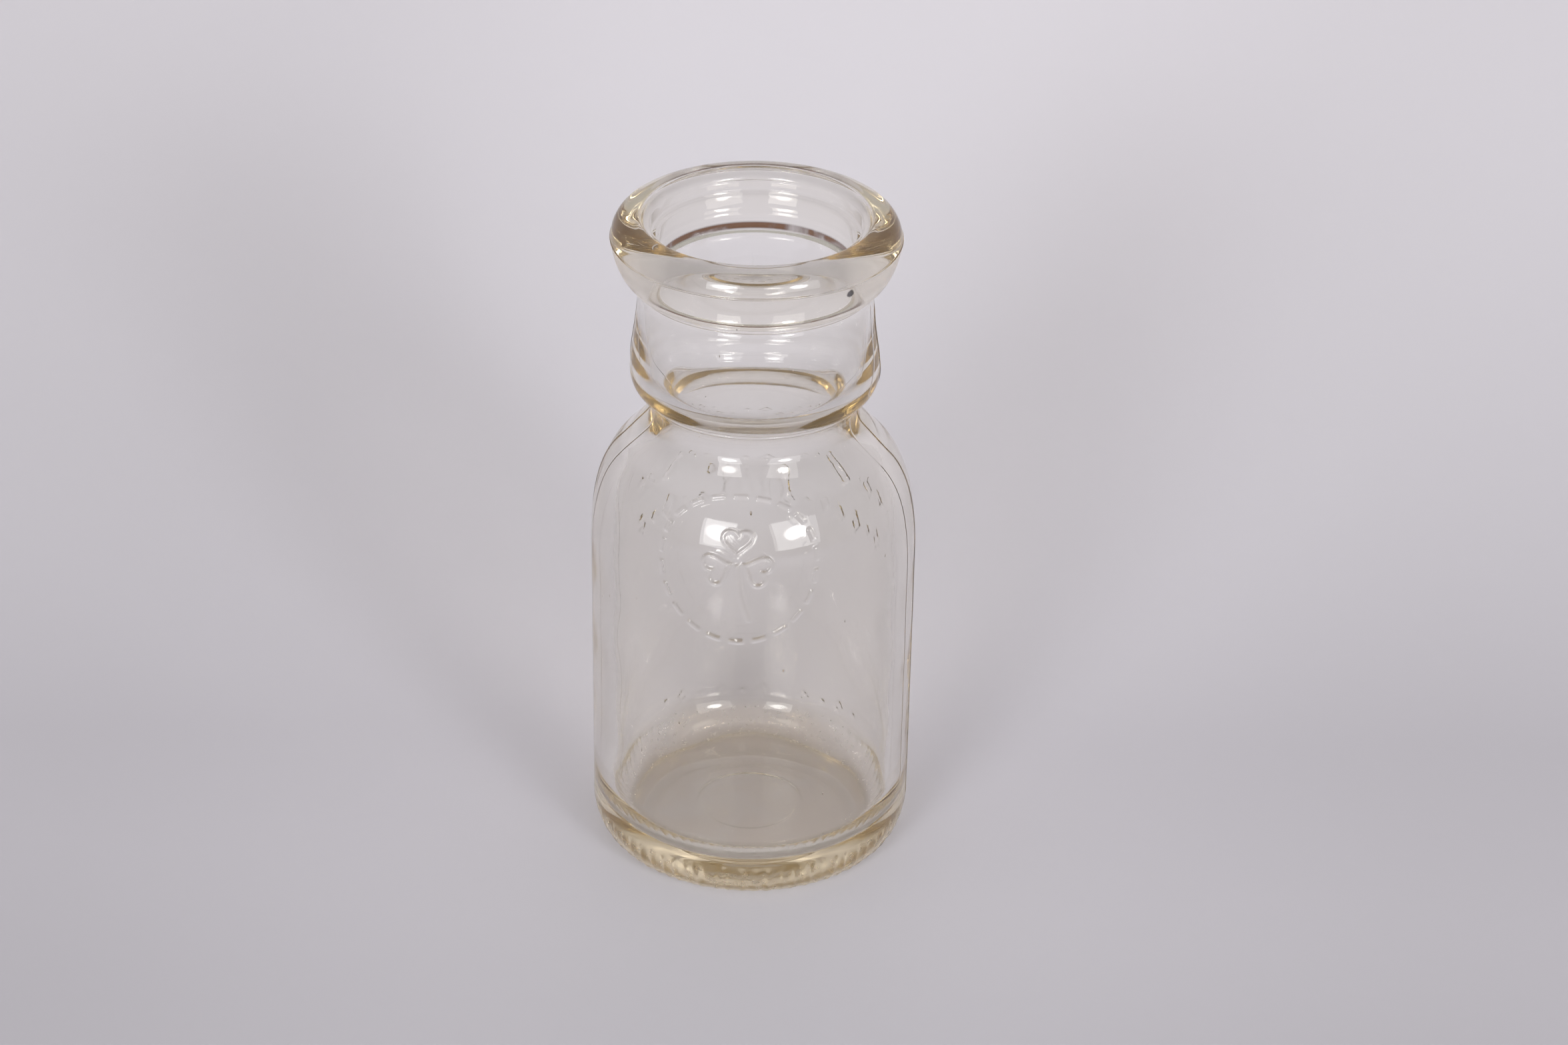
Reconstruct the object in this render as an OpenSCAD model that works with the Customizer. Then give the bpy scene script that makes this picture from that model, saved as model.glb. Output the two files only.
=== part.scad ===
// Round, wide-mouth, half-pint milk bottle of thick pressed-and-blown glass.
// Frame: +Z up along the axis of the bottle, origin at the centre of the
// surface the bottle stands on, -Y towards the embossed medallion. Millimetres.
//
// The bottle is one moulding of glass. bottle_glass is that moulding: base,
// heel, body, shoulder, waist, bulbed neck, throat, cap seat and rim in one
// revolve. The other solids are the raised marks that stand on its outer skin,
// each kept apart so that a plain bottle can be had by leaving them out.

/* [Body] */
// Overall height, standing surface to lip
height = 140; // [138:0.5:144]
// Outer radius of the straight body wall
body_r = 33; // [32.5:0.1:33.5]
// Height at which the straight wall starts to turn into the shoulder
shoulder_z = 67; // [65:0.5:68]
// Thickness of the straight body wall
wall = 4.4; // [3.4:0.1:4.8]

/* [Heel and base] */
// Outer radius of the ring the bottle stands on
foot_r = 27.6; // [26.5:0.1:28.5]
// Inner radius of that ring, where the hollow under the base starts
foot_in_r = 22.5; // [20:0.1:24]
// Height of the rounded heel
heel_h = 8.5; // [8:0.1:9.5]
// Thickness of the floor above the standing surface
floor_z = 6; // [5:0.1:7]
// Depth of the hollow under the base
pushup = 1; // [0.6:0.1:1.4]
// Radius of the circular scar under the base
scar_r = 10.2; // [8:0.1:12]
// Radius of the rounded corner between the inner wall and the floor
inner_heel_r = 8.5; // [7:0.1:9.5]

/* [Waist and neck] */
// Outer radius of the waist between shoulder and neck bulb
waist_r = 20.6; // [20.3:0.1:21]
// Inner radius of the waist
waist_in_r = 17; // [16.5:0.1:17.3]
// Height of the narrowest point of the waist
waist_z = 98.6; // [98:0.1:99]
// Outer radius of the neck bulb at its widest
bulb_r = 24.9; // [24.6:0.1:25.3]
// Inner radius of the neck bulb at its widest
bulb_in_r = 21.8; // [21.4:0.1:22]
// Height of the widest point of the neck bulb
bulb_z = 107.4; // [107:0.1:108.2]
// Outer radius of the neck just under the rim
neck_top_r = 23.3; // [23.1:0.1:23.6]

/* [Rim and cap seat] */
// Outer radius of the rim at the parting line
rim_r = 28.65; // [28.3:0.05:28.8]
// Height of the rim's underside corner below the lip
rim_h = 14.2; // [13.8:0.1:14.4]
// Height of the parting line below the lip
parting_h = 4.6; // [4.4:0.1:4.8]
// Radius at which the lip turns down into the mouth
lip_r = 22.7; // [22.4:0.1:22.9]
// Radius of the cap seat wall, for a paper disc 41.3 mm across
seat_r = 20.8; // [20.75:0.05:20.95]
// Depth of the cap seat ledge below the lip
seat_depth = 4.6; // [4.4:0.1:5]
// Length of the straight wall of the cap seat
seat_len = 2.8; // [2.4:0.1:2.9]
// Radius of the throat under the cap seat
throat_r = 19.3; // [19.1:0.1:19.5]
// Depth below the lip at which the throat opens into the neck bulb
throat_depth = 11.2; // [10.8:0.1:11.6]

/* [Raised marks] */
// How far the medallion and the bands at the back stand out of the wall
mark_h = 0.4; // [0.3:0.05:0.45]
// Radius of the ring of dashes, measured over the surface
ring_r = 15.9; // [15:0.1:16]
// Number of dashes in the ring
dashes = 22; // [20:2:24]
// Height of the centre of the medallion
medal_z = 78.6; // [78:0.1:79]
// Number of ribs round the heel
ribs = 72; // [60:4:96]
// How far the heel ribs stand out
rib_h = 0.2; // [0.15:0.05:0.4]
// How far the two mould seams stand out
seam_h = 0.15; // [0.12:0.01:0.2]

/* [Hidden] */
$fn = 96;
GLASS = [0.86, 0.85, 0.80, 0.45];
MARK = [0.80, 0.78, 0.71, 0.8];

in_r = body_r - wall;             // inner radius of the body
rim_z = height - rim_h;           // underside corner of the rim
parting_z = height - parting_h;   // widest ring of the rim
seat_z = height - seat_depth;     // cap seat ledge
throat_z = height - throat_depth; // end of the throat

// Point at t on the cubic through a and d, with b and c as handles.
function bez(a, b, c, d, t) = a * pow(1 - t, 3) + b * (3 * t * pow(1 - t, 2)) + c * (3 * t * t * (1 - t)) + d * pow(t, 3);
// n points of that cubic, without its first.
function curve(a, b, c, d, n) = [for (i = [1:n]) bez(a, b, c, d, i / n)];
// n points of an elliptical arc about c, from angle p to angle q.
function arc(c, rx, rz, p, q, n) = [for (i = [1:n]) let (a = p + (q - p) * i / n) [c[0] + rx * cos(a), c[1] + rz * sin(a)]];
function flip(v) = [for (i = [len(v) - 1:-1:0]) v[i]];

// Outer skin from the foot to the waist.
slope_a = [27.2 * body_r / 33, shoulder_z + 22.4]; // start of the straight part of the shoulder
slope_b = [22.4, shoulder_z + 27.7];               // end of it
heel_skin = concat([[foot_r, 0]], arc([foot_r, heel_h], body_r - foot_r, heel_h, -90, 0, 8));
shoulder_skin = concat(
    [[body_r, shoulder_z]],
    curve([body_r, shoulder_z], [body_r, shoulder_z + 11], [31, shoulder_z + 18.6], slope_a, 12),
    curve(slope_a, slope_a + [-1.4, 1.35], slope_b + [1.4, -1.5], slope_b, 3),
    curve(slope_b, slope_b + [-1.1, 1.2], [waist_r, waist_z - 2], [waist_r, waist_z], 5));
// Outer skin from the waist over the neck bulb to the rim.
neck_skin = concat(
    curve([waist_r, waist_z], [waist_r, waist_z + 4.8], [bulb_r, bulb_z - 5.6], [bulb_r, bulb_z], 12),
    curve([bulb_r, bulb_z], [bulb_r, bulb_z + 4.5], [neck_top_r - 0.1, rim_z - 9], [neck_top_r, rim_z - 1], 9),
    [[neck_top_r + 0.25, rim_z]]);
// Outer skin of the rim, with the fine parting ring at its widest.
rim_skin = concat(
    curve([neck_top_r + 0.25, rim_z], [neck_top_r + 2.6, rim_z + 1.3], [rim_r - 0.6, rim_z + 4.4], [rim_r - 0.12, parting_z - 0.25], 8),
    [[rim_r, parting_z - 0.12], [rim_r, parting_z + 0.12], [rim_r - 0.12, parting_z + 0.25]],
    curve([rim_r - 0.12, parting_z + 0.25], [rim_r - 0.4, height - 1.6], [rim_r - 1.9, height], [rim_r - 4.4, height], 9));
outer_skin = concat(heel_skin, shoulder_skin, neck_skin, rim_skin);

// Inner skin from the lip down to the floor.
mouth_skin = concat(
    [[lip_r + 0.5, height]],
    curve([lip_r + 0.5, height], [lip_r + 0.1, height], [lip_r, height - 0.15], [lip_r - 0.1, height - 0.6], 3),
    curve([lip_r - 0.1, height - 0.6], [lip_r - 0.4, height - 1.3], [seat_r, height - 1.3], [seat_r, seat_z + seat_len], 4),
    [[seat_r, seat_z], [throat_r + 0.25, seat_z - 0.2], [throat_r, seat_z - 0.5], [throat_r, throat_z]]);
bulb_inside = concat(
    curve([throat_r, throat_z], [throat_r, throat_z - 1.6], [bulb_in_r - 1.6, throat_z - 2.6], [bulb_in_r - 1.2, throat_z - 5], 6),
    curve([bulb_in_r - 1.2, throat_z - 5], [bulb_in_r - 0.6, throat_z - 9], [bulb_in_r, bulb_z + 6], [bulb_in_r, bulb_z + 2.2], 6),
    curve([bulb_in_r, bulb_z + 2.2], [bulb_in_r, bulb_z - 3], [waist_in_r, waist_z + 4.4], [waist_in_r, waist_z - 0.6], 10));
body_inside = concat(
    curve([waist_in_r, waist_z - 0.6], [waist_in_r, waist_z - 4.4], [19.6, 91], [23.4, 87.2], 6),
    curve([23.4, 87.2], [27.4, 83], [in_r, 76.5], [in_r, shoulder_z - 1], 10),
    [[in_r, floor_z + inner_heel_r]],
    arc([in_r - inner_heel_r, floor_z + inner_heel_r], inner_heel_r, inner_heel_r, 0, -90, 10));
inner_skin = concat(mouth_skin, bulb_inside, body_inside);

// Hollow under the base, from its centre out to the standing ring.
function hollow(r) = [r, pushup * (1 - pow(r / foot_in_r, 2))];
base_skin = concat(
    [hollow(0), hollow(4), hollow(7.5), hollow(scar_r - 0.5)],
    [hollow(scar_r - 0.2) + [0, 0.25], hollow(scar_r + 0.2) + [0, 0.25], hollow(scar_r + 0.5)],
    [hollow(13), hollow(15.5), hollow(18), hollow(20.3), hollow(foot_in_r)]);

bottle_section = concat(outer_skin, inner_skin, [[0, floor_z + 0.2]], base_skin);

// Outward direction of skin v at its point i.
function face_dir(p, q) = let (d = q - p) [d[1], -d[0]] / norm(d);
function out_dir(v, i) = let (
        a = face_dir(v[max(i - 1, 0)], v[max(i - 1, 0) + 1]),
        b = face_dir(v[min(i, len(v) - 2)], v[min(i, len(v) - 2) + 1]),
        s = a + b) s / norm(s);

// A layer of thickness h on the skin v, sharing its inner surface with the glass.
module layer(v, h) {
    rotate_extrude() polygon(concat([for (i = [0:len(v) - 1]) v[i] + h * out_dir(v, i)], flip(v)));
}

marked_body = concat([[body_r, 52]], shoulder_skin);   // body wall and shoulder, for the medallion
marked_back = concat([[body_r, 52]], [for (p = shoulder_skin) if (p[1] < 76) p]);

// Height on the surface at s above the centre of the medallion. The shoulder leans back, so s counts for less and less.
function lean(s) = medal_z + (s > 0 ? s - 0.0129 * s * s : s);
// A point of the medallion's flat drawing laid on the round wall.
function laid(p) = [body_r * sin(p[0] / body_r * 180 / PI), lean(p[1])];

// Extrudes a drawing in the X-Z plane through the front wall, towards -Y.
module to_front() { translate([0, -20, 0]) rotate([90, 0, 0]) linear_extrude(20) children(); }

module dash(a, half, w) {
    polygon([for (q = [
        for (i = [0:3]) [ring_r + w / 2, a - half + 2 * half * i / 3],
        for (i = [3:-1:0]) [ring_r - w / 2, a - half + 2 * half * i / 3]])
        laid([q[0] * sin(q[1]), q[0] * cos(q[1])])]);
}

// Line of width w through the points v.
module stroke(v, w) {
    polygon(concat(
        [for (i = [0:len(v) - 1]) v[i] + w / 2 * out_dir(v, i)],
        [for (i = [len(v) - 1:-1:0]) v[i] - w / 2 * out_dir(v, i)]));
}

// Heart-shaped clover leaflet of size k, its point towards the stalk and m of its size left about its own middle.
function leaf(k, m) = [for (i = [0:27]) let (t = 360 * i / 28)
    [k * m * 16 * pow(sin(t), 3), k * (m * (13 * cos(t) - 5 * cos(2 * t) - 2 * cos(3 * t) - cos(4 * t) + 2) + 15) + 0.8]];
// The same, turned by a about the meeting point of the leaflets and laid on the wall.
function leaf_laid(a, m) = [for (p = leaf(0.215, m)) laid([p[0] * cos(a) + p[1] * sin(a), p[1] * cos(a) - p[0] * sin(a) + 1.4])];

module lozenge(w, h, line) {
    difference() {
        polygon([[-w / 2, 0], [0, -h / 2], [w / 2, 0], [0, h / 2]]);
        polygon([[-w / 2 + line * 1.5, 0], [0, -h / 2 + line * 1.5], [w / 2 - line * 1.5, 0], [0, h / 2 - line * 1.5]]);
    }
}

// One moulding of glass: outside, mouth, inside and base in a single revolve.
module bottle_glass() color(GLASS) rotate_extrude() polygon(bottle_section);

// Ring of dashes round the medallion.
module medallion_ring() color(MARK) intersection() {
    layer(marked_body, mark_h);
    to_front() for (i = [0:dashes - 1]) dash(180 + 360 * i / dashes, 5.8, 0.9);
}

// Clover sprig inside the ring: three leaflets in outline and a bent stalk.
module medallion_clover() color(MARK) intersection() {
    layer(marked_body, mark_h);
    to_front() {
        for (a = [0, 112, 248]) difference() {
            polygon(leaf_laid(a, 1));
            polygon(leaf_laid(a, 0.74));
        }
        stroke([for (i = [0:8]) laid([2.4 * pow(i / 8, 2), 0.6 - 11.5 * i / 8])], 0.9);
    }
}

// Two rows of large and small lozenges across the back of the upper body.
module upper_back_band() color(MARK) intersection() {
    layer(marked_back, mark_h);
    for (row = [0:1], i = [-7:7]) rotate([0, 0, 180 + i * 8.6]) to_front()
        translate([0, shoulder_z + 3.2 - 10.2 * row]) {
            if ((i + 20 + row) % 2 == 0) lozenge(3.6, 5.6, 0.62);
            else lozenge(2.2, 3.4, 0.55);
        }
}

// One row of lozenges and studs low on the back.
module lower_back_band() color(MARK) intersection() {
    layer([[body_r, heel_h + 0.6], [body_r, heel_h + 8]], mark_h);
    for (i = [-5:5]) rotate([0, 0, 180 + i * 9]) to_front()
        translate([0, heel_h + 4.3]) {
            if ((i + 20) % 2 == 0) lozenge(3, 4.4, 0.6);
            else circle(r = 0.8, $fn = 24);
        }
}

// Short upright ribs pressed round the heel.
module heel_ribs() color(MARK) intersection() {
    layer([for (p = heel_skin) if (p[1] > 0.3 && p[1] < heel_h - 0.05) p], rib_h);
    for (i = [0:ribs - 1]) rotate([0, 0, 360 * (i + 0.5) / ribs]) translate([20, -0.55, 0]) cube([20, 1.1, 12]);
}

// The two seams left by the halves of the mould, on the left and right sides.
module mould_seams() color(MARK) intersection() {
    layer([for (p = concat([[body_r, heel_h + 0.5]], shoulder_skin)) if (p[1] < waist_z - 1) p], seam_h);
    for (a = [0, 180]) rotate([0, 0, a]) translate([15, -0.3, 0]) cube([25, 0.6, 100]);
}

bottle_glass();
medallion_ring();
medallion_clover();
upper_back_band();
lower_back_band();
heel_ribs();
mould_seams();
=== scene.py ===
import math

import bpy
import numpy as np
from mathutils import Matrix, Vector


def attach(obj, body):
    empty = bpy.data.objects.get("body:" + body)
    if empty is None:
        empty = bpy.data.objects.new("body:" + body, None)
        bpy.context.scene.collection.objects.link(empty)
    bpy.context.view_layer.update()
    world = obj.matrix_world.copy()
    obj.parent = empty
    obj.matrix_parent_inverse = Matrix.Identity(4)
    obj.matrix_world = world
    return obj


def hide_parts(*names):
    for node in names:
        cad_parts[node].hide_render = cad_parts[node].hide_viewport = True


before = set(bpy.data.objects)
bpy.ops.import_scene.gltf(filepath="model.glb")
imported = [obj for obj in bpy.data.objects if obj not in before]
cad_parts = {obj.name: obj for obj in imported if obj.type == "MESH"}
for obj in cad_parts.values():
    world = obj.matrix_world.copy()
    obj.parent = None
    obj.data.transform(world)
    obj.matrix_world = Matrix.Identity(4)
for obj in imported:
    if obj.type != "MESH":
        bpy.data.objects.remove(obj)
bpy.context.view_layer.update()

MM = 0.001
rng = np.random.default_rng(1931)

# ---------------------------------------------------------------- the section
# The same section as the CAD part, in millimetres, sampled more finely.
HEIGHT, BODY_R, SHOULDER_Z, WALL = 140.0, 33.0, 67.0, 4.4
FOOT_R, FOOT_IN_R, HEEL_H, FLOOR_Z, PUSHUP, SCAR_R, INNER_HEEL_R = 27.6, 22.5, 8.5, 6.0, 1.0, 10.2, 8.5
WAIST_R, WAIST_IN_R, WAIST_Z = 20.6, 17.0, 98.6
BULB_R, BULB_IN_R, BULB_Z, NECK_TOP_R = 24.9, 21.8, 107.4, 23.3
RIM_R, RIM_Z, PARTING_Z, LIP_R = 28.65, 125.8, 135.4, 22.7
SEAT_R, SEAT_Z, SEAT_LEN, THROAT_R, THROAT_Z = 20.8, 135.4, 2.8, 19.3, 128.8
IN_R = BODY_R - WALL
MARK_H, RING_R, DASHES, MEDAL_Z, RIBS, RIB_H, SEAM_H = 0.4, 15.9, 22, 78.6, 72, 0.2, 0.15


def bez(a, b, c, d, n=60):
    t = np.linspace(0, 1, n)[:, None]
    a, b, c, d = (np.array(p, float) for p in (a, b, c, d))
    return a * (1 - t) ** 3 + 3 * b * t * (1 - t) ** 2 + 3 * c * t * t * (1 - t) + d * t**3


def arc(c, rx, rz, p, q, n=60):
    t = np.radians(np.linspace(p, q, n))
    return np.stack([c[0] + rx * np.cos(t), c[1] + rz * np.sin(t)], -1)


def line(a, b, n=2):
    t = np.linspace(0, 1, n)[:, None]
    return np.array(a, float) * (1 - t) + np.array(b, float) * t


def chain(*parts):
    out = [parts[0]]
    for p in parts[1:]:
        out.append(p[1:] if np.allclose(p[0], out[-1][-1], atol=1e-6) else p)
    return np.concatenate(out)


def resample(v, step):
    """Points along v at about every step millimetres, corners included."""
    s = np.r_[0, np.cumsum(np.hypot(*np.diff(v, axis=0).T))]
    d = np.diff(v, axis=0)
    a = np.arctan2(d[:, 1], d[:, 0])
    turn = np.abs((np.diff(a) + np.pi) % (2 * np.pi) - np.pi)
    keep = [0.0] + [s[i + 1] for i in np.where(turn > 0.30)[0]] + [s[-1]]
    out = []
    for p, q in zip(keep[:-1], keep[1:]):
        if q - p < 1e-6:
            continue
        n = max(1, int(math.ceil((q - p) / step)))
        out.extend(np.linspace(p, q, n, endpoint=False))
    out.append(s[-1])
    out = np.array(out)
    return np.stack([np.interp(out, s, v[:, 0]), np.interp(out, s, v[:, 1])], -1)


slope_a, slope_b = (27.2, SHOULDER_Z + 22.4), (22.4, SHOULDER_Z + 27.7)


def hollow(r):
    return (r, PUSHUP * (1 - (r / FOOT_IN_R) ** 2))


def hollow_run(a, b, n):
    return np.array([hollow(r) for r in np.linspace(a, b, n)])


base_skin = chain(
    hollow_run(0, SCAR_R - 0.6, 12),
    bez(hollow(SCAR_R - 0.6), hollow(SCAR_R - 0.3), np.array(hollow(SCAR_R - 0.25)) + (0, 0.22), np.array(hollow(SCAR_R)) + (0, 0.22), 8),
    bez(np.array(hollow(SCAR_R)) + (0, 0.22), np.array(hollow(SCAR_R + 0.25)) + (0, 0.22), hollow(SCAR_R + 0.3), hollow(SCAR_R + 0.6), 8),
    hollow_run(SCAR_R + 0.6, FOOT_IN_R - 1.5, 20),
    bez(hollow(FOOT_IN_R - 1.5), (FOOT_IN_R, 0.02), (FOOT_IN_R + 0.8, 0), (FOOT_IN_R + 2.2, 0), 12),
    line((FOOT_IN_R + 2.2, 0), (FOOT_R, 0)),
)
heel_skin = arc((FOOT_R, HEEL_H), BODY_R - FOOT_R, HEEL_H, -90, 0)
shoulder_skin = chain(
    bez((BODY_R, SHOULDER_Z), (BODY_R, SHOULDER_Z + 11), (31, SHOULDER_Z + 18.6), slope_a),
    bez(slope_a, (slope_a[0] - 1.4, slope_a[1] + 1.35), (slope_b[0] + 1.4, slope_b[1] - 1.5), slope_b),
    bez(slope_b, (slope_b[0] - 1.1, slope_b[1] + 1.2), (WAIST_R, WAIST_Z - 2), (WAIST_R, WAIST_Z)),
)
neck_skin = chain(
    bez((WAIST_R, WAIST_Z), (WAIST_R, WAIST_Z + 4.8), (BULB_R, BULB_Z - 5.6), (BULB_R, BULB_Z)),
    bez((BULB_R, BULB_Z), (BULB_R, BULB_Z + 4.5), (NECK_TOP_R - 0.1, RIM_Z - 9), (NECK_TOP_R, RIM_Z - 1)),
    bez((NECK_TOP_R, RIM_Z - 1), (NECK_TOP_R, RIM_Z - 0.5), (NECK_TOP_R + 0.05, RIM_Z - 0.2), (NECK_TOP_R + 0.25, RIM_Z), 8),
)
rim_skin = chain(
    bez((NECK_TOP_R + 0.25, RIM_Z), (NECK_TOP_R + 2.6, RIM_Z + 1.3), (RIM_R - 0.6, RIM_Z + 4.4), (RIM_R - 0.12, PARTING_Z - 0.25)),
    bez((RIM_R - 0.12, PARTING_Z - 0.25), (RIM_R - 0.02, PARTING_Z - 0.1), (RIM_R - 0.02, PARTING_Z + 0.1), (RIM_R - 0.12, PARTING_Z + 0.25), 8),
    bez((RIM_R - 0.12, PARTING_Z + 0.25), (RIM_R - 0.4, HEIGHT - 1.6), (RIM_R - 1.9, HEIGHT), (RIM_R - 4.4, HEIGHT)),
    line((RIM_R - 4.4, HEIGHT), (LIP_R + 0.5, HEIGHT)),
)
mouth_skin = chain(
    bez((LIP_R + 0.5, HEIGHT), (LIP_R + 0.1, HEIGHT), (LIP_R, HEIGHT - 0.15), (LIP_R - 0.1, HEIGHT - 0.6), 10),
    bez((LIP_R - 0.1, HEIGHT - 0.6), (LIP_R - 0.4, HEIGHT - 1.3), (SEAT_R, HEIGHT - 1.3), (SEAT_R, SEAT_Z + SEAT_LEN), 20),
    line((SEAT_R, SEAT_Z + SEAT_LEN), (SEAT_R, SEAT_Z + 0.15)),
    bez((SEAT_R, SEAT_Z + 0.15), (SEAT_R, SEAT_Z), (SEAT_R - 0.1, SEAT_Z - 0.02), (SEAT_R - 0.25, SEAT_Z - 0.05), 6),
    line((SEAT_R - 0.25, SEAT_Z - 0.05), (THROAT_R + 0.25, SEAT_Z - 0.2)),
    bez((THROAT_R + 0.25, SEAT_Z - 0.2), (THROAT_R + 0.05, SEAT_Z - 0.25), (THROAT_R, SEAT_Z - 0.35), (THROAT_R, SEAT_Z - 0.5), 6),
    line((THROAT_R, SEAT_Z - 0.5), (THROAT_R, THROAT_Z)),
)
bulb_inside = chain(
    bez((THROAT_R, THROAT_Z), (THROAT_R, THROAT_Z - 1.6), (BULB_IN_R - 1.6, THROAT_Z - 2.6), (BULB_IN_R - 1.2, THROAT_Z - 5)),
    bez((BULB_IN_R - 1.2, THROAT_Z - 5), (BULB_IN_R - 0.6, THROAT_Z - 9), (BULB_IN_R, BULB_Z + 6), (BULB_IN_R, BULB_Z + 2.2)),
    bez((BULB_IN_R, BULB_Z + 2.2), (BULB_IN_R, BULB_Z - 3), (WAIST_IN_R, WAIST_Z + 4.4), (WAIST_IN_R, WAIST_Z - 0.6)),
)
body_inside = chain(
    bez((WAIST_IN_R, WAIST_Z - 0.6), (WAIST_IN_R, WAIST_Z - 4.4), (19.6, 91), (23.4, 87.2)),
    bez((23.4, 87.2), (27.4, 83), (IN_R, 76.5), (IN_R, SHOULDER_Z - 1)),
    line((IN_R, SHOULDER_Z - 1), (IN_R, FLOOR_Z + INNER_HEEL_R), 20),
    arc((IN_R - INNER_HEEL_R, FLOOR_Z + INNER_HEEL_R), INNER_HEEL_R, INNER_HEEL_R, 0, -90),
    line((IN_R - INNER_HEEL_R, FLOOR_Z), (0, FLOOR_Z + 0.2)),
)

# ------------------------------------------------------------ raised drawings
# phi is the azimuth from -Y towards +X, so the medallion is at phi = 0.


def ramp(d, edge=0.3):
    """1 inside a drawn shape, 0 outside, over a soft edge; d is the distance to its outline, positive outside."""
    t = np.clip(0.5 - d / edge, 0, 1)
    return t * t * (3 - 2 * t)


def unlean(dz):
    up = np.clip(dz, 0, 18)
    return np.where(dz > 0, (1 - np.sqrt(np.clip(1 - 4 * 0.0129 * up, 0.001, 1))) / (2 * 0.0129), dz)


def near_line(u, v, pts):
    best = np.full(u.shape, 1e9)
    for (x0, y0), (x1, y1) in zip(pts[:-1], pts[1:]):
        dx, dy = x1 - x0, y1 - y0
        t = np.clip(((u - x0) * dx + (v - y0) * dy) / (dx * dx + dy * dy + 1e-12), 0, 1)
        best = np.minimum(best, np.hypot(u - x0 - t * dx, v - y0 - t * dy))
    return best


def leaf(a, m, n=56, k=0.215):
    t = np.linspace(0, 2 * np.pi, n + 1)
    x = k * m * 16 * np.sin(t) ** 3
    y = k * (m * (13 * np.cos(t) - 5 * np.cos(2 * t) - 2 * np.cos(3 * t) - np.cos(4 * t) + 2) + 15) + 0.8
    a = math.radians(a)
    return np.stack([x * math.cos(a) + y * math.sin(a), y * math.cos(a) - x * math.sin(a) + 1.4], -1)


def medallion(phi, r, z):
    x = r * np.sin(phi)
    u = BODY_R * np.arcsin(np.clip(x / BODY_R, -1, 1))
    v = unlean(z - MEDAL_Z)
    rho = np.hypot(u, v)
    ang = np.degrees(np.arctan2(u, v))
    pitch = 360.0 / DASHES
    k = np.round((ang - 180) / pitch)
    off = np.abs(ang - 180 - k * pitch)
    wear = 0.82 + 0.18 * np.sin(k * 2.399 + 0.7)
    across = np.abs(rho - RING_R) - 0.45
    along = rho * np.radians(off - 5.2)
    d = np.where((across > 0) & (along > 0), np.hypot(across, along), np.maximum(across, along))
    h = wear * ramp(d, 0.34)
    near = (np.abs(u) < 11) & (np.abs(v) < 13)
    pic = np.zeros_like(h)
    if near.any():
        uu, vv = u[near], v[near]
        dd = np.full(uu.shape, 1e9)
        for a in (0, 112, 248):
            dd = np.minimum(dd, near_line(uu, vv, leaf(a, 0.87)) - 0.36)
        stalk = np.array([[2.4 * (i / 12) ** 2, 0.6 - 11.5 * i / 12] for i in range(13)])
        dd = np.minimum(dd, near_line(uu, vv, stalk) - 0.42)
        pic[near] = ramp(dd, 0.34)
    return np.where(np.cos(phi) > 0, MARK_H * np.maximum(h, pic), 0)


def lozenge(u, v, w, h, ln):
    k = 1 / math.hypot(2 / w, 2 / h)
    f = (np.abs(u) / (w / 2) + np.abs(v) / (h / 2) - 1) * k
    return ramp(np.abs(f + ln * 0.55) - ln * 0.55, 0.35)


def back_row(phi, z, z0, step, size, stud, odd, reach=5, small=None):
    """One row of lozenges round the back, with studs or small lozenges between them."""
    back = (phi - np.pi + np.pi) % (2 * np.pi) - np.pi
    i = np.round(np.degrees(back) / step)
    on = np.abs(i) <= reach
    u = BODY_R * (back - np.radians(i * step))
    v = z - z0
    w, h, ln = size
    wear = 0.75 + 0.25 * np.sin(i * 1.7 + z0)
    loz = lozenge(u, v, w, h, ln)
    dome = lozenge(u, v, *small) if small else np.sqrt(np.clip(1 - (u * u + v * v) / stud**2, 0, 1))
    return MARK_H * wear * np.where(on, np.where((i + 20 + odd) % 2 == 0, loz, dome), 0)


rib_amp = 0.45 + 0.55 * rng.random(RIBS)
rib_shift = 0.22 * (rng.random(RIBS) - 0.5)
rib_top = 0.8 * (rng.random(RIBS) - 0.5)


def heel_marks(phi, z):
    pitch = 2 * np.pi / RIBS
    q = phi / pitch - 0.5
    i = np.round(q).astype(int)
    ii = i % RIBS
    off = (q - i - rib_shift[ii] - 0.015 * (z - 4) * np.sin(ii * 2.1)) * pitch * BODY_R
    w = 0.62 + 0.18 * np.sin(ii * 1.3)
    top = HEEL_H - 0.6 + rib_top[ii]
    worn = 0.22 + 0.78 * np.clip(0.5 + 0.8 * np.cos(phi), 0, 1)
    return RIB_H * worn * rib_amp[ii] * np.exp(-((off / w) ** 2) * 1.6) * ramp(0.6 - z, 0.8) * ramp(z - top, 1.6)


def seams(phi, z):
    d = np.minimum(np.abs((phi - np.pi / 2 + np.pi) % (2 * np.pi) - np.pi), np.abs((phi + np.pi / 2 + np.pi) % (2 * np.pi) - np.pi))
    return SEAM_H * ramp(d * BODY_R - 0.24, 0.3) * ramp(7.5 - z, 2) * ramp(z - 122, 3)


def waves(phi, z, amp, seed):
    """Slow unevenness of old glass."""
    g = np.random.default_rng(seed)
    out = 0
    for m in range(1, 7):
        a, b, c = g.random(3)
        out = out + (0.5 + a) / m**0.8 * np.sin(m * phi + 2 * np.pi * b + 1.3 * np.sin(z / (11 + 9 * c) + 6 * a))
    for wl in (47.0, 29.0, 17.0):
        a, b = g.random(2)
        out = out + 0.5 * np.sin(2 * np.pi * z / wl + 2 * np.pi * a + 0.8 * np.sin(phi + 2 * np.pi * b))
    return amp * out / 2.6


# ------------------------------------------------------------------- the mesh
verts, faces = [], []


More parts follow.
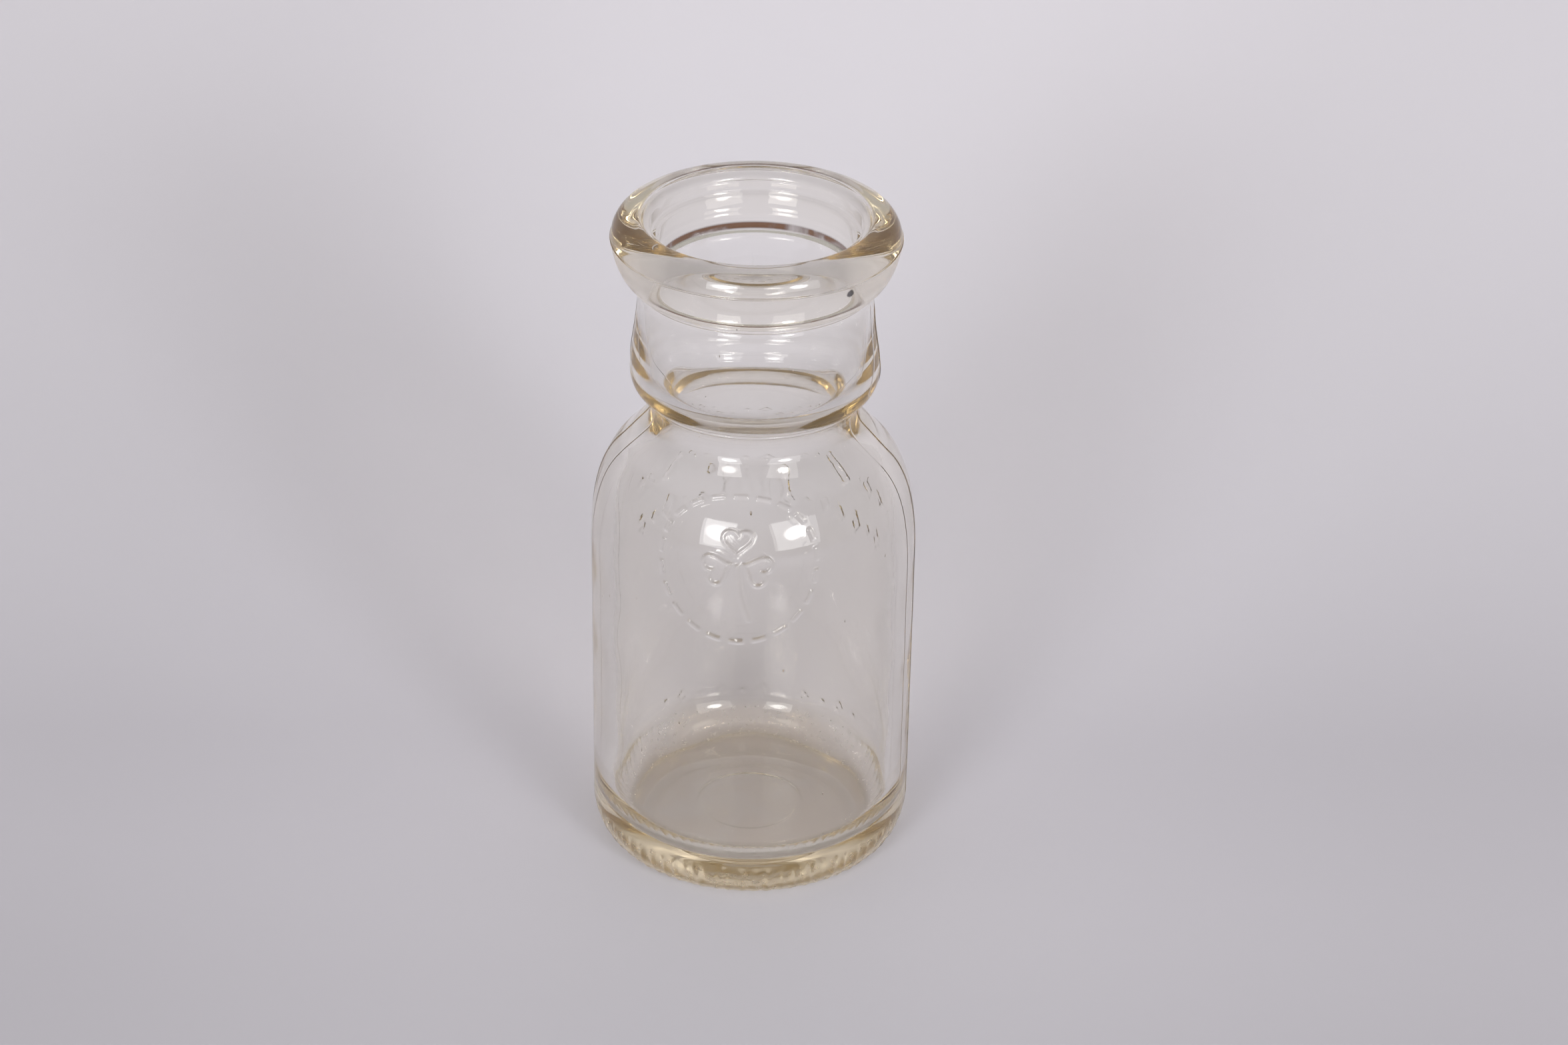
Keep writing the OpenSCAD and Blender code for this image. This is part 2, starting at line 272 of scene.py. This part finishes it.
def add(points):
    """Adds points and returns their indices."""
    start = len(verts)
    verts.extend(map(tuple, points))
    return np.arange(start, start + len(points))


def columns(base_step, fine=()):
    """Azimuths round the bottle about base_step degrees apart, and closer inside each (from, to, step) in degrees."""
    marks = [(-92.0, -88.0, 0.42), (88.0, 92.0, 0.42)] + list(fine)
    a, out = -180.0, []
    while a < 180.0 - 1e-6:
        out.append(a)
        step = base_step
        for p, q, s in marks:
            if p - 1e-6 <= a < q - 1e-6:
                step = min(step, s)
        ahead = [p for p, q, s in marks if a + 1e-6 < p < a + step]
        a = min(ahead) if ahead else a + step
    if 180.0 - out[-1] < 0.35 * base_step and len(out) > 2:
        pass
    return np.radians(np.array(out))


def skew(p0, p1, cols_from, cols_to, flip):
    """Joins two closed rings with different columns by triangles."""
    i = j = 0
    n, m = len(p0), len(p1)
    while i < n or j < m:
        na = cols_from[i + 1] if i + 1 < n else (cols_from[0] + 2 * np.pi if i + 1 == n else np.inf)
        nb = cols_to[j + 1] if j + 1 < m else (cols_to[0] + 2 * np.pi if j + 1 == m else np.inf)
        a, b = p0[i % n], p1[j % m]
        if i < n and (na <= nb or j >= m):
            t = (a, p0[(i + 1) % n], b)
            i += 1
        else:
            t = (a, p1[(j + 1) % m], b)
            j += 1
        faces.append(t if not flip else t[::-1])


def grid(r0, r1):
    """Quads between two rings with the same columns."""
    n = len(r0)
    for k in range(n):
        faces.append((r0[k], r0[(k + 1) % n], r1[(k + 1) % n], r1[k]))


def skin_normals(v):
    d = np.gradient(v, axis=0)
    n = np.stack([d[:, 1], -d[:, 0]], -1)
    return n / (np.linalg.norm(n, axis=1)[:, None] + 1e-12)


def outer_point(p, nrm, phi):
    """Points of the outer skin at section point p for the azimuths phi, in millimetres."""
    r, z = p
    rr = np.full(phi.shape, float(r))
    zz = np.full(phi.shape, float(z))
    h = np.zeros_like(phi)
    if 60 < z < 96:
        h = np.maximum(h, medallion(phi, rr, zz))
    if 54 < z < 76:
        for k in (0, 1):
            h = np.maximum(h, back_row(phi, zz, SHOULDER_Z + 3.2 - 10.2 * k, 8.6, (3.6, 5.6, 0.62), 0.95, k, 7, (2.2, 3.4, 0.55)))
    if HEEL_H - 1 < z < HEEL_H + 9:
        h = np.maximum(h, back_row(phi, zz, HEEL_H + 4.3, 9, (3.0, 4.4, 0.6), 0.85, 0))
    if z < 12 and r > FOOT_R - 0.5:
        h = h + heel_marks(phi, zz)
    if z > 5 and z < 125:
        h = np.maximum(h, seams(phi, zz))
    slow = waves(phi, zz, 0.035 if z < 90 else 0.018, 5) * np.clip((z - 2) / 8, 0, 1) * np.clip((HEIGHT - 0.5 - z) / 6, 0, 1)
    h = h + slow - 0.03
    if abs(z - PARTING_Z) < 0.6:
        h = h + 0.13 * (0.8 + 0.2 * np.sin(5 * phi)) * math.exp(-(((z - PARTING_Z) / 0.16) ** 2))
    if z < 0.6:
        h = h * 0
    return rr + nrm[0] * h, zz + nrm[1] * h


def inner_point(p, nrm, phi):
    r, z = p
    h = waves(phi, np.full(phi.shape, float(z)), 0.16, 9) * np.clip((125 - z) / 14, 0, 1) * np.clip(r / 8, 0, 1)
    if z < 20:
        h = h * 0.55
    return r + nrm[0] * h, z + nrm[1] * h


def ring_of(p, nrm, phi, inside):
    r, z = (inner_point if inside else outer_point)(p, nrm, phi)
    return add(np.stack([r * np.sin(phi), -r * np.cos(phi), z], -1))


def build(bands):
    """bands: (section points, columns, inside). Consecutive bands share their end point."""
    prev = prev_cols = None
    for pts, cols, inside in bands:
        nrm = skin_normals(pts)
        for i, p in enumerate(pts):
            if prev is not None and i == 0 and len(cols) == len(prev_cols) and np.allclose(cols, prev_cols):
                continue
            if p[0] < 1e-6:
                tip = add([(0.0, 0.0, p[1])])[0]
                if prev is None:
                    prev, prev_cols = tip, None
                else:
                    for k in range(len(prev)):
                        faces.append((prev[k], prev[(k + 1) % len(prev)], tip))
                    prev = None
                continue
            if prev is not None and not np.isscalar(prev) and prev_cols is not None and i == 0:
                # the same place again with other columns: skip it, the next ring is joined by triangles
                continue
            cur = ring_of(p, nrm[i], cols, inside)
            if prev is None:
                pass
            elif prev_cols is None:
                for k in range(len(cur)):
                    faces.append((prev, cur[(k + 1) % len(cur)], cur[k]))
            elif len(cols) == len(prev_cols) and np.allclose(cols, prev_cols):
                grid(prev, cur)
            else:
                skew(prev, cur, prev_cols, cols, False)
            prev, prev_cols = cur, cols


def cut(v, z0, z1):
    """The stretch of an upward skin between two heights, its ends included."""
    def at(z):
        return np.array([np.interp(z, v[:, 1], v[:, 0]), z])
    mid = v[(v[:, 1] > z0 + 1e-4) & (v[:, 1] < z1 - 1e-4)]
    return np.concatenate([[at(z0)], mid, [at(z1)]])


wall_skin = chain(line((BODY_R, HEEL_H), (BODY_R, SHOULDER_Z), 80), shoulder_skin)
coarse = columns(2.6)
FRONT = (-30.5, 30.5, 0.42)
BACK = [(-180.0, -119.0, 0.9), (119.0, 180.0, 0.9)]
LOWBACK = [(-180.0, -131.0, 0.9), (131.0, 180.0, 0.9)]
top_skin = resample(chain(neck_skin, rim_skin), 0.68)
fin = [PARTING_Z + q for q in (-0.45, -0.3, -0.2, -0.12, -0.05, 0.05, 0.12, 0.2, 0.3, 0.45)]
rim_at = chain(neck_skin, rim_skin)
rim_at = rim_at[rim_at[:, 1] > RIM_Z + 0.5]
keep = top_skin[(np.abs(top_skin[:, 1] - PARTING_Z) > 0.5) | (top_skin[:, 0] < 26)]
split = int(np.searchsorted(keep[:, 1], PARTING_Z))
top_skin = np.concatenate([keep[:split], [(np.interp(q, rim_at[:, 1], rim_at[:, 0]), q) for q in fin], keep[split:]])
bands = [
    (resample(base_skin, 0.8), coarse, False),
    (resample(heel_skin, 0.45), columns(0.7), False),
    (resample(cut(wall_skin, HEEL_H, 16.4), 0.45), columns(2.6, LOWBACK), False),
    (resample(cut(wall_skin, 16.4, 56.4), 2.0), coarse, False),
    (resample(cut(wall_skin, 56.4, 61.6), 0.42), columns(2.6, BACK), False),
    (resample(cut(wall_skin, 61.6, 74.4), 0.27), columns(2.6, BACK + [FRONT]), False),
    (resample(cut(wall_skin, 74.4, 92.6), 0.25), columns(2.6, [FRONT]), False),
    (resample(cut(wall_skin, 92.6, WAIST_Z), 0.6), columns(2.25), False),
    (top_skin, columns(2.25), False),
    (resample(mouth_skin, 0.5), columns(2.25), True),
    (resample(chain(bulb_inside, body_inside), 1.35), columns(2.6), True),
]
build(bands)
wall_vertices = len(verts)


def seed(center, rx, rz, n=10, tilt=0.0):
    """A small air bubble: a closed hollow whose skin faces into it."""
    c = np.array(center, float)
    top = add([c + (0, 0, rz)])[0]
    rings = []
    for i in range(1, n // 2 + 1):
        t = math.pi * i / (n // 2 + 1)
        a = np.linspace(0, 2 * np.pi, n, endpoint=False)
        rings.append(add(np.stack([c[0] + rx * math.sin(t) * np.cos(a) + tilt * rz * math.cos(t), c[1] + rx * math.sin(t) * np.sin(a), c[2] + rz * math.cos(t) + 0 * a], -1)))
    bottom = add([c - (0, 0, rz)])[0]
    for k in range(n):
        faces.append((top, rings[0][(k + 1) % n], rings[0][k]))
        faces.append((bottom, rings[-1][k], rings[-1][(k + 1) % n]))
    for r0, r1 in zip(rings[:-1], rings[1:]):
        for k in range(n):
            faces.append((r0[k], r0[(k + 1) % n], r1[(k + 1) % n], r1[k]))


def in_wall(phi_deg, z, depth, r_out):
    a = math.radians(phi_deg)
    r = r_out - depth
    return (r * math.sin(a), -r * math.cos(a), z)


for phi, z, depth, r_out, rx, rz in [
    (4.5, 88.2, 1.6, 28.3, 0.22, 0.5), (-21, 41, 1.5, 33, 0.14, 0.34), (17, 55, 2.2, 33, 0.16, 0.3), (-38, 31, 1.8, 33, 0.13, 0.5),
    (33, 24, 2.0, 33, 0.15, 0.28), (61, 74, 1.8, 32.7, 0.16, 0.34), (-64, 60, 2.3, 33, 0.14, 0.3), (140, 36, 1.7, 33, 0.2, 0.4),
    (-150, 82, 1.6, 31.5, 0.18, 0.36), (171, 111, 1.3, 24.6, 0.14, 0.3), (24, 117, 1.2, 23.9, 0.13, 0.26), (-12, 120, 1.2, 23.6, 0.1, 0.3),
    (-3, 127.6, 2.2, 25.4, 0.16, 0.26), (8, 3.4, 6.0, 33, 0.3, 0.34), (-26, 3.2, 7.0, 33, 0.2, 0.22), (48, 3.0, 9.0, 33, 0.26, 0.24),
    (96, 50, 2.1, 33, 0.16, 0.4), (-112, 45, 1.9, 33, 0.14, 0.3),
]:
    seed(in_wall(phi, z, depth, r_out), rx, rz)

glass = bpy.data.meshes.new("bottle")
glass.from_pydata([tuple(c * MM for c in v) for v in verts], [], [tuple(int(i) for i in f) for f in faces])
glass.validate(verbose=False)
glass.update()
glass.polygons.foreach_set("use_smooth", [True] * len(glass.polygons))
bottle = bpy.data.objects.new("bottle", glass)
bpy.context.scene.collection.objects.link(bottle)
print("bottle faces", len(glass.polygons), "verts", len(glass.vertices))

# ---------------------------------------------------------------- the glass


def new_material(name):
    m = bpy.data.materials.new(name)
    m.use_nodes = True
    nt = m.node_tree
    nt.nodes.clear()
    return m, nt


def node(nt, kind, **values):
    n = nt.nodes.new(kind)
    for k, v in values.items():
        if k in n.inputs:
            n.inputs[k].default_value = v
        else:
            setattr(n, k, v)
    return n


def glass_material():
    m, nt = new_material("milk_bottle_glass")
    out = node(nt, "ShaderNodeOutputMaterial")
    p = node(nt, "ShaderNodeBsdfPrincipled")
    p.inputs["Base Color"].default_value = (0.995, 0.994, 0.992, 1)
    p.inputs["Transmission Weight"].default_value = 1.0
    p.inputs["IOR"].default_value = 1.51
    at = node(nt, "ShaderNodeTexCoord")
    # fine rubbed wear and a faint film: roughness that varies over the surface
    film = node(nt, "ShaderNodeTexNoise", Scale=38.0, Detail=6.0, Roughness=0.62)
    film.inputs["Distortion"].default_value = 0.4
    nt.links.new(at.outputs["Object"], film.inputs["Vector"])
    spots = node(nt, "ShaderNodeTexNoise", Scale=420.0, Detail=3.0, Roughness=0.55)
    nt.links.new(at.outputs["Object"], spots.inputs["Vector"])
    mix = node(nt, "ShaderNodeMath", operation="MULTIPLY")
    nt.links.new(film.outputs["Fac"], mix.inputs[0])
    nt.links.new(spots.outputs["Fac"], mix.inputs[1])
    rough = node(nt, "ShaderNodeMapRange")
    rough.inputs["From Min"].default_value = 0.22
    rough.inputs["From Max"].default_value = 0.5
    rough.inputs["To Min"].default_value = 0.0
    rough.inputs["To Max"].default_value = 0.028
    nt.links.new(mix.outputs[0], rough.inputs["Value"])
    where = node(nt, "ShaderNodeSeparateXYZ")
    nt.links.new(at.outputs["Object"], where.inputs["Vector"])
    flat = node(nt, "ShaderNodeVectorMath", operation="MULTIPLY")
    flat.inputs[1].default_value = (1.0, 1.0, 0.0)
    nt.links.new(at.outputs["Object"], flat.inputs[0])
    radius = node(nt, "ShaderNodeVectorMath", operation="LENGTH")
    nt.links.new(flat.outputs["Vector"], radius.inputs[0])

    def between(source, a, b):
        """0 at a, 1 at b, smooth between; a may be the larger."""
        n = node(nt, "ShaderNodeMapRange", interpolation_type="SMOOTHSTEP")
        n.inputs["From Min"].default_value, n.inputs["From Max"].default_value = (a, b) if a < b else (b, a)
        n.inputs["To Min"].default_value, n.inputs["To Max"].default_value = (0.0, 1.0) if a < b else (1.0, 0.0)
        nt.links.new(source, n.inputs["Value"])
        return n.outputs["Result"]

    def times(*sources):
        out = sources[0]
        for q in sources[1:]:
            n = node(nt, "ShaderNodeMath", operation="MULTIPLY")
            nt.links.new(out, n.inputs[0])
            if isinstance(q, float):
                n.inputs[1].default_value = q
            else:
                nt.links.new(q, n.inputs[1])
            out = n.outputs[0]
        return out

    def plus(a, b):
        n = node(nt, "ShaderNodeMath", operation="ADD")
        nt.links.new(a, n.inputs[0])
        nt.links.new(b, n.inputs[1])
        return n.outputs[0]

    height_at, radius_at = where.outputs["Z"], radius.outputs["Value"]
    grit = node(nt, "ShaderNodeTexNoise", Scale=700.0, Detail=2.0)
    nt.links.new(at.outputs["Object"], grit.inputs["Vector"])
    scuffed = times(between(height_at, 0.0098, 0.0076), between(radius_at, 0.0262, 0.0271), grit.outputs["Fac"], 0.42)
    nt.links.new(plus(rough.outputs["Result"], scuffed), p.inputs["Roughness"])

    def overlay(under, mask, colour):
        n = node(nt, "ShaderNodeMix", data_type="RGBA")
        nt.links.new(mask, n.inputs["Factor"])
        if isinstance(under, tuple):
            n.inputs["A"].default_value = under
        else:
            nt.links.new(under, n.inputs["A"])
        n.inputs["B"].default_value = colour
        return n.outputs["Result"]

    patchy = node(nt, "ShaderNodeTexNoise", Scale=85.0, Detail=4.0, Distortion=0.6)
    nt.links.new(at.outputs["Object"], patchy.inputs["Vector"])
    streak = between(patchy.outputs["Fac"], 0.20, 0.46)
    inside = between(radius_at, 0.0284, 0.0270)
    film_floor = times(between(height_at, 0.0150, 0.0075), between(height_at, 0.0040, 0.0052), inside, between(patchy.outputs["Fac"], 0.15, 0.6))
    # a dark brown band painted round the far side of the throat's lower edge, broken up by noise streaks
    ring = times(between(height_at, 0.1274, 0.1281), between(height_at, 0.1297, 0.1291), between(radius_at, 0.0212, 0.0206), between(where.outputs["Y"], -0.003, 0.005), streak)
    colour = overlay((0.995, 0.994, 0.992, 1), film_floor, (0.965, 0.90, 0.83, 1))
    colour = overlay(colour, ring, (0.07, 0.022, 0.008, 1))
    off = node(nt, "ShaderNodeVectorMath", operation="DISTANCE")
    off.inputs[1].default_value = (0.01998, -0.02009, 0.13371)
    nt.links.new(at.outputs["Object"], off.inputs[0])
    jag = times(spots.outputs["Fac"], 0.0009)
    speck = between(plus(off.outputs["Value"], jag), 0.00145, 0.00110)
    colour = overlay(colour, speck, (0.03, 0.03, 0.035, 1))
    nt.links.new(colour, p.inputs["Base Color"])
    # chill marks and orange peel of the mould
    peel = node(nt, "ShaderNodeTexNoise", Scale=260.0, Detail=4.0, Roughness=0.5)
    nt.links.new(at.outputs["Object"], peel.inputs["Vector"])
    bump = node(nt, "ShaderNodeBump", Strength=0.02, Distance=0.0003)
    nt.links.new(peel.outputs["Fac"], bump.inputs["Height"])
    nt.links.new(bump.outputs["Normal"], p.inputs["Normal"])
    # lamps pass through with a soft tint, so the shadow of the glass stays pale
    clear = node(nt, "ShaderNodeBsdfTransparent")
    face = node(nt, "ShaderNodeLayerWeight", Blend=0.35)
    tint = node(nt, "ShaderNodeMix", data_type="RGBA")
    tint.inputs["A"].default_value = (0.868, 0.864, 0.858, 1)
    tint.inputs["B"].default_value = (0.12, 0.116, 0.112, 1)
    nt.links.new(face.outputs["Facing"], tint.inputs["Factor"])
    # the thick round heel throws more of the light aside than the wall does
    split = node(nt, "ShaderNodeSeparateXYZ")
    nt.links.new(at.outputs["Object"], split.inputs["Vector"])
    heel = node(nt, "ShaderNodeMapRange", interpolation_type="SMOOTHSTEP")
    heel.inputs["From Min"].default_value = 0.004
    heel.inputs["From Max"].default_value = 0.014
    heel.inputs["To Min"].default_value = 0.90
    heel.inputs["To Max"].default_value = 1.0
    nt.links.new(split.outputs["Z"], heel.inputs["Value"])
    dim = node(nt, "ShaderNodeVectorMath", operation="SCALE")
    nt.links.new(tint.outputs["Result"], dim.inputs[0])
    nt.links.new(heel.outputs["Result"], dim.inputs["Scale"])
    nt.links.new(dim.outputs["Vector"], clear.inputs["Color"])
    ray = node(nt, "ShaderNodeLightPath")
    either = node(nt, "ShaderNodeMixShader")
    nt.links.new(ray.outputs["Is Shadow Ray"], either.inputs["Fac"])
    nt.links.new(p.outputs["BSDF"], either.inputs[1])
    nt.links.new(clear.outputs["BSDF"], either.inputs[2])
    nt.links.new(either.outputs["Shader"], out.inputs["Surface"])
    depth = node(nt, "ShaderNodeVolumeAbsorption")
    depth.inputs["Color"].default_value = (0.680, 0.545, 0.215, 1)
    depth.inputs["Density"].default_value = 16.0
    nt.links.new(depth.outputs["Volume"], out.inputs["Volume"])
    return m


glass.materials.append(glass_material())
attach(bottle, "root")
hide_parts("bottle_glass", "medallion_ring", "medallion_clover", "upper_back_band", "lower_back_band", "heel_ribs", "mould_seams")

# ------------------------------------------------------------------ the stage
BETA = math.radians(5.4)  # the photographer stood a little to the right of the medallion


def sweep():
    """One pale sheet: flat under the bottle, curving up ever faster behind it."""
    start, bend = 0.028, 1.75
    prof = [(-2.4, 0.0), (-1.2, 0.0), (-0.5, 0.0), (-0.1, 0.0), (start, 0.0)]
    for i in range(1, 41):
        d = 0.286 * i / 40
        prof.append((start + d, bend * d * d))
    for i in range(1, 21):
        a = math.radians(45 + 40 * i / 20)
        prof.append((start + 0.286 + 0.35 * (math.sin(a) - math.sin(math.radians(45))), bend * 0.286**2 + 0.35 * (math.cos(math.radians(45)) - math.cos(a))))
    a = math.radians(85)
    prof.append((prof[-1][0] + 0.6 * math.cos(a), prof[-1][1] + 0.6 * math.sin(a)))
    turn = Matrix.Rotation(BETA, 4, "Z")
    me = bpy.data.meshes.new("backdrop")
    vs, fs = [], []
    for y, z in prof:
        for x in (-1.9, 1.9):
            vs.append(turn @ Vector((x, y, z - 0.00006)))
    for i in range(len(prof) - 1):
        fs.append((2 * i, 2 * i + 1, 2 * i + 3, 2 * i + 2))
    me.from_pydata(vs, [], fs)
    me.polygons.foreach_set("use_smooth", [True] * len(fs))
    o = bpy.data.objects.new("backdrop", me)
    bpy.context.scene.collection.objects.link(o)
    m, nt = new_material("backdrop_paper")
    out = node(nt, "ShaderNodeOutputMaterial")
    p = node(nt, "ShaderNodeBsdfPrincipled", Roughness=0.75)
    p.inputs["Specular IOR Level"].default_value = 0.25
    at = node(nt, "ShaderNodeTexCoord")
    n = node(nt, "ShaderNodeTexNoise", Scale=3.0, Detail=3.0)
    nt.links.new(at.outputs["Object"], n.inputs["Vector"])
    mix = node(nt, "ShaderNodeMix", data_type="RGBA")
    mix.inputs["A"].default_value = (0.567, 0.548, 0.587, 1)
    mix.inputs["B"].default_value = (0.587, 0.568, 0.607, 1)
    nt.links.new(n.outputs["Fac"], mix.inputs["Factor"])
    # painted light and shade on the paper: a little darker towards its front edge and its sides, brighter up the
    # curve
    where = node(nt, "ShaderNodeSeparateXYZ")
    nt.links.new(at.outputs["Object"], where.inputs["Vector"])

    def calc(op, a, b=None):
        n = node(nt, "ShaderNodeMath", operation=op)
        for i, q in enumerate((a, b)):
            if isinstance(q, float):
                n.inputs[i].default_value = q
            elif q is not None:
                nt.links.new(q, n.inputs[i])
        return n.outputs[0]

    def grade(source, a, b, lo, hi):
        n = node(nt, "ShaderNodeMapRange", interpolation_type="SMOOTHSTEP")
        n.inputs["From Min"].default_value, n.inputs["From Max"].default_value = a, b
        n.inputs["To Min"].default_value, n.inputs["To Max"].default_value = lo, hi
        nt.links.new(source, n.inputs["Value"])
        return n.outputs["Result"]

    along, across = calc("ADD", where.outputs["Y"], where.outputs["Z"]), where.outputs["X"]
    painted_light = calc("MULTIPLY", grade(along, -0.10, -0.015, 0.905, 1.0), grade(along, 0.12, 0.36, 1.0, 1.085))
    painted_light = calc("MULTIPLY", painted_light, grade(calc("ABSOLUTE", across), 0.03, 0.16, 1.06, 0.965))
    # painted light: up to 3 % brighter towards the right, further back on the sheet
    painted_light = calc("MULTIPLY", painted_light, calc("ADD", 1.0, calc("MULTIPLY", grade(across, 0.0, 0.15, 0.0, 0.03), grade(along, 0.03, 0.15, 0.0, 1.0))))
    # the paper's colour times the painted light and shade
    paper_with_painted_light = node(nt, "ShaderNodeVectorMath", operation="SCALE")
    nt.links.new(mix.outputs["Result"], paper_with_painted_light.inputs[0])
    nt.links.new(painted_light, paper_with_painted_light.inputs["Scale"])
    nt.links.new(paper_with_painted_light.outputs["Vector"], p.inputs["Base Color"])
    nt.links.new(p.outputs["BSDF"], out.inputs["Surface"])
    me.materials.append(m)
    return o


sweep()


def softbox(name, az, elev, dist, w, h, power, aim, spread=180.0, colour=(1, 1, 1), core=False):
    """A square lamp, az degrees to the right of the camera's side and elev degrees up as seen from the bottle's middle."""
    a, e = math.radians(az), math.radians(elev)
    pos = Vector((0, 0, 0.075)) + Vector((math.sin(a) * math.cos(e), -math.cos(a) * math.cos(e), math.sin(e))) * dist
    turn = Matrix.Rotation(BETA, 4, "Z")
    pos, aim = turn @ pos, turn @ Vector(aim)
    l = bpy.data.lights.new(name, "AREA")
    l.shape, l.size, l.size_y, l.energy, l.color = "RECTANGLE", w, h, power, colour
    l.spread = math.radians(spread)
    if core:
        l.shape = "DISK"
        l.use_nodes = True
        nt = l.node_tree
        g = node(nt, "ShaderNodeNewGeometry")
        mv = node(nt, "ShaderNodeVectorMath", operation="SUBTRACT")
        mv.inputs[1].default_value = (0.5, 0.5, 0.0)
        nt.links.new(g.outputs["Parametric"], mv.inputs[0])
        ln = node(nt, "ShaderNodeVectorMath", operation="LENGTH")
        nt.links.new(mv.outputs["Vector"], ln.inputs[0])
        fall = node(nt, "ShaderNodeMapRange", interpolation_type="SMOOTHERSTEP")
        fall.inputs["From Min"].default_value = 0.12
        fall.inputs["From Max"].default_value = 0.5
        fall.inputs["To Min"].default_value = 1.0
        fall.inputs["To Max"].default_value = 0.0
        nt.links.new(ln.outputs["Value"], fall.inputs["Value"])
        nt.links.new(fall.outputs["Result"], nt.nodes["Emission"].inputs["Strength"])
    o = bpy.data.objects.new(name, l)
    o.location = pos
    o.rotation_euler = (aim - pos).to_track_quat("-Z", "Y").to_euler()
    bpy.context.scene.collection.objects.link(o)
    return o


AIM = (0.0, 0.0, 0.06)
FLASH = (0.985, 0.995, 1.0)
softbox("softbox_right", 33, 20, 1.6, 0.92, 0.92, 6.8, AIM, 180, FLASH)
softbox("flash_right", 33, 20, 1.57, 0.50, 0.50, 14.9, AIM, 180, FLASH, True)
softbox("softbox_left", -26, 20, 1.6, 0.66, 0.86, 7.0, AIM, 180, FLASH)
softbox("flash_left", -26, 20, 1.57, 0.60, 0.60, 13.8, AIM, 180, FLASH, True)

# The room: light overhead and to the sides, darker and brown behind the camera.
world = bpy.data.worlds.new("studio")
world.use_nodes = True
wt = world.node_tree
bg = wt.nodes["Background"]
wc = node(wt, "ShaderNodeTexCoord")
turn = node(wt, "ShaderNodeVectorRotate", rotation_type="Z_AXIS")
turn.inputs["Angle"].default_value = -BETA
wt.links.new(wc.outputs["Generated"], turn.inputs["Vector"])
wx = node(wt, "ShaderNodeSeparateXYZ")
wt.links.new(turn.outputs["Vector"], wx.inputs["Vector"])
up = node(wt, "ShaderNodeMapRange", interpolation_type="SMOOTHSTEP")
up.inputs["From Min"].default_value, up.inputs["From Max"].default_value = 0.15, 0.95
wt.links.new(wx.outputs["Z"], up.inputs["Value"])
side = node(wt, "ShaderNodeMapRange", interpolation_type="SMOOTHSTEP")
side.inputs["From Min"].default_value, side.inputs["From Max"].default_value = -0.75, -0.15
wt.links.new(wx.outputs["Y"], side.inputs["Value"])
low = node(wt, "ShaderNodeMix", data_type="RGBA")
low.inputs["A"].default_value = (0.36, 0.32, 0.262, 1)
low.inputs["B"].default_value = (0.575, 0.568, 0.565, 1)
wt.links.new(side.outputs["Result"], low.inputs["Factor"])
sky = node(wt, "ShaderNodeMix", data_type="RGBA")
sky.inputs["B"].default_value = (0.525, 0.518, 0.518, 1)
wt.links.new(up.outputs["Result"], sky.inputs["Factor"])
wt.links.new(low.outputs["Result"], sky.inputs["A"])
wt.links.new(sky.outputs["Result"], bg.inputs["Color"])
bg.inputs["Strength"].default_value = 0.94
bpy.context.scene.world = world

# ----------------------------------------------------------------- the camera
cam = bpy.data.cameras.new("camera")
cam.sensor_width, cam.lens = 36.0, 85.0
cam.clip_start, cam.clip_end = 0.01, 20
co = bpy.data.objects.new("camera", cam)
yaw, pitch, roll = 0.0096148, 0.5180364, 0.0168267
f = Vector((math.sin(yaw) * math.cos(pitch), math.cos(yaw) * math.cos(pitch), -math.sin(pitch)))
r = Vector((math.cos(yaw), -math.sin(yaw), 0.0))
u = r.cross(f)
r2, u2 = math.cos(roll) * r + math.sin(roll) * u, -math.sin(roll) * r + math.cos(roll) * u
rot = Matrix((r2, u2, -f)).transposed().to_4x4()
place = Matrix.Translation(Vector((0, -0.653978, 0.443855))) @ rot
co.matrix_world = Matrix.Rotation(BETA, 4, "Z") @ place
bpy.context.scene.collection.objects.link(co)
bpy.context.scene.camera = co
bpy.context.scene.view_settings.view_transform = "Standard"
cy = bpy.context.scene.cycles
cy.sample_clamp_indirect = 50.0
cy.max_bounces, cy.transmission_bounces, cy.glossy_bounces, cy.transparent_max_bounces = 64, 64, 64, 32
